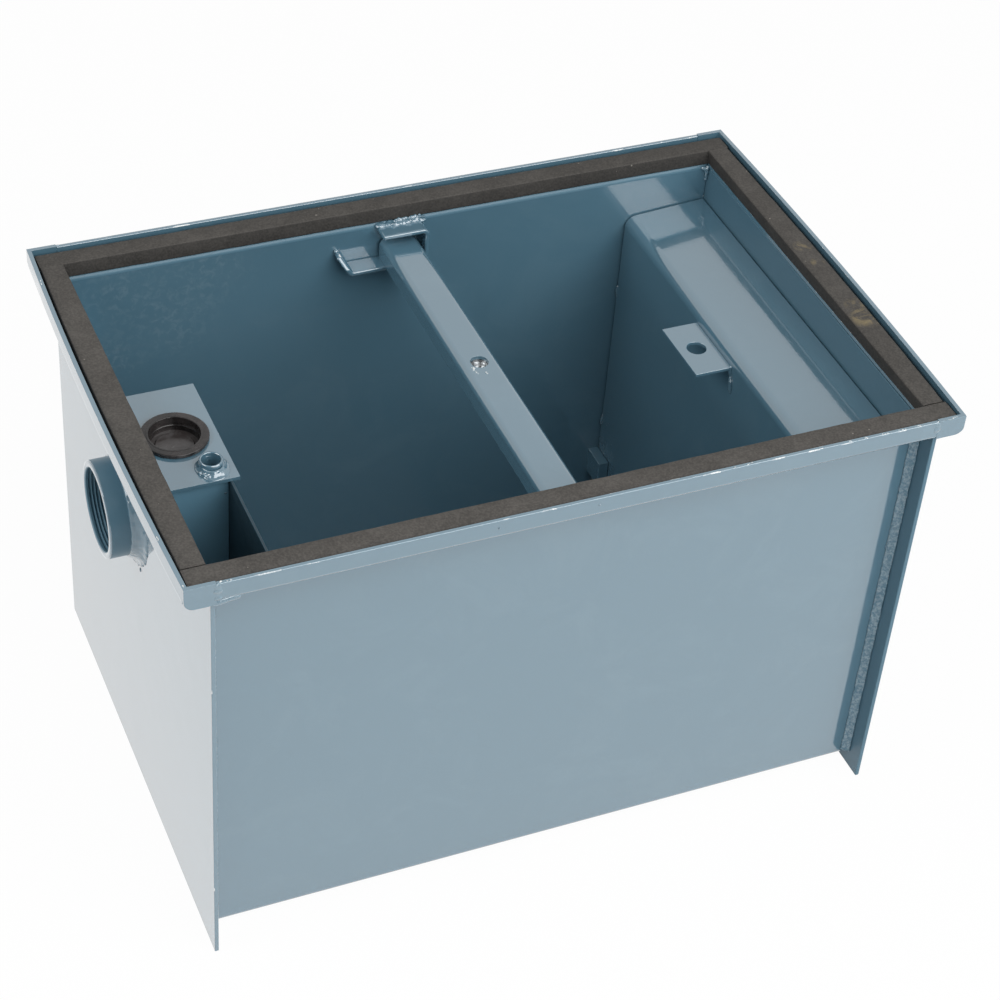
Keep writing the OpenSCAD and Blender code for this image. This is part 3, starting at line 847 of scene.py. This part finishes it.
def vent():
    """The vent tube, turned from its section, and the lumpy weld round its foot."""
    rng = random.Random(3)
    low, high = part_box("vent_tube")
    lid_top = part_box("outlet_box_lid")[1].z / MM
    centre = (low + high) / 2
    tube, bore = VENT_RADIUS, VENT_BORE_RADIUS
    bottom, top = low.z / MM, high.z / MM
    outline = [(bore, bottom), (tube, bottom), (tube, top - 0.7), (tube - 0.4, top - 0.15), (tube - 0.75, top),
               (bore + 0.35, top - 0.1), (bore, top - 0.5)]
    outline = [(r, h - bottom) for r, h in outline]
    piece = turned("vent_pipe", outline, (centre.x, centre.y, low.z), (0, 0, 1), (1, 0, 0), RING_STEPS)
    dress(piece, [WALL_ENAMEL], "tank")
    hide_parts("vent_tube")
    face = [(tube + r, h) for r, h in fillet(VENT_WELD)]
    outline = [(tube - 0.6, -0.5), (tube + 4.6, -0.5)] + face + [(tube - 0.6, VENT_WELD)]
    piece = turned("vent_weld", outline, (centre.x, centre.y, lid_top * MM), (0, 0, 1), (1, 0, 0), RING_STEPS)
    for side, value in ((lambda co: co.y < centre.y, (1, 1.2, 1)), (lambda co: co.y > centre.y, (1, 0.88, 1)),
                        (lambda co: co.x < centre.x, (0.9, 1, 1))):
        pick(piece, side)
        bpy.ops.transform.resize(value=value, center_override=centre)
        done()
    lumps = []
    for i in range(9):
        angle = math.radians(-150 + 13 * i + rng.uniform(-4, 4))
        radius = tube + rng.uniform(1.6, 3.6)
        x, y = centre.x / MM + radius * math.cos(angle), centre.y / MM + radius * math.sin(angle)
        place = Vector((x, y, lid_top + 1.2))
        lumps.append((place * MM, Vector((1.0, 1.0, 1.3)) * rng.uniform(0.8, 1.25) * MM))
    piece = grown(piece, lumps, 0.4 * MM, smooth=3)
    roughen(piece, 4 * MM, 0.7 * MM)
    dress(piece, [WALL_ENAMEL], "tank")


def box_weld():
    """The thin ragged bead under the front edge of the outlet box's lid."""
    rng = random.Random(13)
    low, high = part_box("outlet_box_front")
    y, z = low.y / MM - 0.4, high.z / MM - 0.6
    row = lumps_along((low.x / MM + 2, y, z), (high.x / MM - 1, y, z), 22, (2.0, 1.3, 1.4), 0.5, rng)
    piece = run_together("lid_weld", row, 0.5 * MM, smooth=1)
    dress(piece, [WELD_ENAMEL], "tank")


def corner_welds():
    """The flat welds where the end rails' returns meet the front and back rails, and a smear under one return."""
    rng = random.Random(9)
    low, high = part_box("tank_wrapper")
    joint, face, top = high.x / MM, high.y / MM, high.z / MM
    low_y = low.y / MM
    lumps = []
    for sx in (-1, 1):
        for sy in (-1, 1):
            x, y = sx * (joint - 1), sy * (face - 0.9)
            lumps += lumps_along((x, y, top - 12), (x, y, top - 1.8), 8, (3.2, 1.2, 2.0), 0.3, rng)
    smear = [(SMEAR_START[0] + SMEAR_STEP[0] * i, SMEAR_START[1] + SMEAR_STEP[1] * i) for i in range(SMEAR_LUMPS)]
    lumps += [(Vector((x, low_y + 1.55, z)) * MM, Vector((2.4, 1.5, 2.4)) * MM) for x, z in smear]
    piece = run_together("corner_welds", lumps, 0.5 * MM)
    dress(piece, [WELD_ENAMEL], "tank")


def inner_corner_weld():
    """The end of the weld in the right rear corner, just under the gasket."""
    rng = random.Random(17)
    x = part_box("seam_welds")[1].x / MM
    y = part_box("back_bar_hook")[1].y / MM
    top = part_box("back_gasket")[0].z / MM
    lumps = lumps_along((x - 1.2, y - 1.2, top - 13), (x - 1.4, y - 1.4, top - 2.5), 6, (1.5, 1.5, 2.2), 0.4, rng)
    lumps += lumps_along((x - 2.5, y - 2.0, top - 3), (x - 4.5, y - 1.0, top - 2.5), 3, (1.6, 1.5, 1.5), 0.4, rng)
    piece = run_together("inner_corner_weld", lumps, 0.4 * MM, smooth=1)
    dress(piece, [WELD_ENAMEL], "tank")


# Crossbar nut and plug

NUT_BORE_RADIUS = 4.7
NUT_THREAD_OUTSIDE = 5.35
NUT_PITCH = 1.3
NUT_THREAD_DEPTH = 0.6
NUT_STEPS = 48


def nut():
    """The weld nut with its cut thread."""
    eased("bar_nut", [BARE, BARE], NUT_EASE)
    low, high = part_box("bar_nut")
    centre = (low + high) / 2
    height = (high.z - low.z) / MM
    outline = zigzag(NUT_BORE_RADIUS, 0.4, height - 0.4, NUT_PITCH, NUT_THREAD_DEPTH)
    outline += [(NUT_THREAD_OUTSIDE, height - 0.1), (NUT_THREAD_OUTSIDE, 0.1)]
    piece = turned("nut_thread", outline, (centre.x, centre.y, low.z), (0, 0, 1), (1, 0, 0), NUT_STEPS)
    dress(piece, [BARE], "crossbar")


PLUG_BOWL = 18.35
PLUG_FLOOR_DEPTH = 10.5


def plug():
    """The cup plug with a dusty floor, and the bead and the step inside its bowl."""
    piece = eased("cleanout_plug", [PLUG, PLUG_FLOOR, PLUG], PLUG_EASE)
    low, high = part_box("cleanout_plug")
    for face in piece.data.polygons:
        if face.normal.z > 0.9 and face.center.z < high.z - 5 * MM:
            face.material_index = 1
    centre = (low + high) / 2
    turns = [math.tau * i / 10 for i in range(10)]
    bead = [(PLUG_BOWL + 0.4 + 0.9 * math.cos(a), 0.5 * math.sin(a) - 0.2) for a in turns]
    step = [(PLUG_BOWL + 0.3, -PLUG_FLOOR_DEPTH), (PLUG_BOWL - 1.2, -PLUG_FLOOR_DEPTH), (PLUG_BOWL - 1.2, -6.6),
            (PLUG_BOWL - 0.9, -6.2), (PLUG_BOWL + 0.3, -6.2)]
    for name, outline in (("plug_bead", bead), ("plug_step", step)):
        ring = turned(name, outline, (centre.x, centre.y, high.z), (0, 0, 1), (1, 0, 0), RING_STEPS)
        dress(ring, [PLUG], "plug")


# Chips and spatter, placed in mm

RIM_END = 275
CHIP_SPOTS = [(-278.4, -186.6, 356.0), (-256.0, -189.0, 355.7), (-251.0, -189.2, 355.6), (101.0, -189.2, 355.6),
              (110.5, -189.2, 355.6), (257.8, -189.3, 355.8), (269.5, -189.3, 356.0), (277.8, 182.2, 356.0),
              (-279.9, 144.5, 356.0), (-279.8, 147.0, 356.0), (-280.3, -141.1, 356.0), (188.0, -189.2, 355.6),
              (200.0, -189.2, 355.6), (214.0, -189.2, 355.6), (227.0, -189.2, 355.6), (241.0, -189.2, 355.6)]
SPATTER_SPOTS = [(-68.3, -190.2, 349.5), (2.4, -190.2, 350.0), (-207.2, -49.5, 301.6), (-203.4, -49.4, 305.8),
                 (-49.5, 165.4, 324.0), (-221.0, -36.7, 317.0), (-214.5, -47.5, 317.0), (-204.5, -52.0, 317.0)]
TACK_SPOTS = [(189.5, 163.5, 232.3), (189.5, 163.5, 100.1)]
BAR_CHIPS = [(-11.0, -5.0), (-10.8, -8.0), (-10.2, -11.0), (-3.6, -13.0)]


def chips():
    """Chips in the paint of the rim and the crossbar, weld spatter, and tacks on the baffle."""
    rng = random.Random(21)
    lumps = []
    for spot in CHIP_SPOTS:
        length = rng.uniform(1, 4)
        at_end = abs(spot[0]) > RIM_END
        way, radii = ((0, length, 0), (0.5, 1.0, 0.3)) if at_end else ((length, 0, 0), (1.0, 0.55, 0.3))
        lumps += lumps_along(spot, Vector(spot) + Vector(way), 3, radii, 0.4, rng)
    piece = run_together("rim_chips", lumps, 0.3 * MM, smooth=1)
    dress(piece, [CHIP], "tank")
    lumps = []
    for spot in SPATTER_SPOTS:
        lumps += lumps_along(spot, spot, 2, (0.8, 0.7, 0.8), 0.6, rng)
    piece = run_together("weld_spatter", lumps, 0.3 * MM, smooth=1)
    dress(piece, [WELD_ENAMEL], "tank")
    lumps = []
    for spot in TACK_SPOTS:
        lumps += lumps_along(spot, Vector(spot) + Vector((0, 0, 8)), 4, (1.4, 1.2, 2.0), 0.4, rng)
    piece = run_together("baffle_tacks", lumps, 0.4 * MM, smooth=1)
    dress(piece, [WELD_ENAMEL], "baffle")
    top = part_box("crossbar")[1].z / MM
    lumps = []
    for x, y in BAR_CHIPS:
        lumps += lumps_along((x, y, top), (x + 0.5, y - 1.2, top), 2, (0.9, 1.2, 0.3), 0.3, rng)
    piece = run_together("bar_chips", lumps, 0.25 * MM, smooth=1)
    dress(piece, [CHIP], "crossbar")


# Stage, lights and camera

FLOOR_SIZE = 14
FLOOR_COLOUR = (0.86, 0.86, 0.86, 1)
FLOOR_SEEN = 0.97
FLOOR_MIRRORED = 0.85
WORLD_LEAST = 0.2
DARK_WAY = (0.0, -0.72, 0.69)
LAMP_AIM = (0, 0, 0.25)


def stage():
    """A pale floor that the camera sees as white, with a faint shadow."""
    start()
    bpy.ops.mesh.primitive_plane_add(size=FLOOR_SIZE, location=(0, 0, -0.2 * MM))
    floor = bpy.context.active_object
    floor.name = "studio_floor"
    material, tree, shader = new_material("studio_floor", Roughness=0.9)
    shader.inputs["Base Color"].default_value = FLOOR_COLOUR
    rays = put(tree, "ShaderNodeLightPath")
    white = put(tree, "ShaderNodeEmission", Color=(1, 1, 1, 1), Strength=1.0)
    seen = figure(tree, "MULTIPLY", rays.outputs["Is Camera Ray"], FLOOR_SEEN)
    mirrored = figure(tree, "MAXIMUM", rays.outputs["Is Glossy Ray"], rays.outputs["Is Transmission Ray"])
    share = figure(tree, "MAXIMUM", seen, figure(tree, "MULTIPLY", mirrored, FLOOR_MIRRORED))
    mix = put(tree, "ShaderNodeMixShader", Fac=share)
    tree.links.new(shader.outputs[0], mix.inputs[1])
    tree.links.new(white.outputs[0], mix.inputs[2])
    tree.links.new(mix.outputs[0], tree.nodes["Material Output"].inputs["Surface"])
    floor.data.materials.append(material)


def softbox(name, place, aim, size, power):
    """A rectangular area lamp that points at a place."""
    lamp = bpy.data.lights.new(name, "AREA")
    lamp.shape = "RECTANGLE"
    lamp.size, lamp.size_y = size
    lamp.energy = power
    holder = bpy.data.objects.new(name, lamp)
    bpy.context.scene.collection.objects.link(holder)
    holder.location = place
    holder.rotation_mode = "QUATERNION"
    holder.rotation_quaternion = (Vector(aim) - Vector(place)).to_track_quat("-Z", "Y")


def lights():
    """A white studio that is darker high in front, with a key lamp at the front right and a fill lamp at the left."""
    world = bpy.data.worlds.new("studio")
    bpy.context.scene.world = world
    world.use_nodes = True
    tree = world.node_tree
    back = tree.nodes["Background"]
    back.inputs["Color"].default_value = (1, 1, 1, 1)
    rays = put(tree, "ShaderNodeLightPath")
    facing = put(tree, "ShaderNodeVectorMath", {"operation": "DOT_PRODUCT"})
    tree.links.new(put(tree, "ShaderNodeTexCoord").outputs["Generated"], facing.inputs[0])
    facing.inputs[1].default_value = DARK_WAY
    mirrored = spread(tree, facing.outputs["Value"], 0.3, 0.7, 0.85, 0.3)
    glossy = figure(tree, "MAXIMUM", rays.outputs["Is Glossy Ray"], rays.outputs["Is Transmission Ray"])
    strength = figure(tree, "MAXIMUM", rays.outputs["Is Camera Ray"], figure(tree, "MULTIPLY", glossy, mirrored))
    strength = figure(tree, "MAXIMUM", strength, WORLD_LEAST)
    tree.links.new(strength, back.inputs["Strength"])
    softbox("key", place=(0.78, -1.60, 1.80), aim=LAMP_AIM, size=(2.8, 2.3), power=65)
    softbox("fill", place=(-1.72, 0.05, 1.45), aim=LAMP_AIM, size=(1.2, 1.2), power=18)


def camera():
    """The camera, at the place, turn and lens fitted to the photo."""
    lens = bpy.data.cameras.new("photo_camera")
    lens.sensor_fit = "HORIZONTAL"
    lens.sensor_width = SENSOR_MM
    lens.lens = LENS_PIXELS * SENSOR_MM / IMAGE_PIXELS
    holder = bpy.data.objects.new("photo_camera", lens)
    bpy.context.scene.collection.objects.link(holder)
    azimuth, elevation, roll = (math.radians(a) for a in (CAMERA_AZIMUTH, CAMERA_ELEVATION, CAMERA_ROLL))
    level = math.cos(elevation)
    back = Vector((math.sin(azimuth) * level, -math.cos(azimuth) * level, math.sin(elevation)))
    right = Vector((math.cos(azimuth), math.sin(azimuth), 0))
    up = back.cross(right)
    across = math.cos(roll) * right + math.sin(roll) * up
    upright = math.cos(roll) * up - math.sin(roll) * right
    turn = Matrix((across, upright, back)).transposed()
    holder.rotation_mode = "QUATERNION"
    holder.rotation_quaternion = turn.to_quaternion()
    holder.location = CAMERA_PLACE
    bpy.context.scene.camera = holder


camera()
stage()
lights()
sheet_pieces()
couplings()
gasket_strips()
seam_welds()
hook_welds()
tab_weld()
vent()
box_weld()
corner_welds()
inner_corner_weld()
nut()
plug()
chips()
start()
bpy.context.scene.view_settings.view_transform = "Standard"
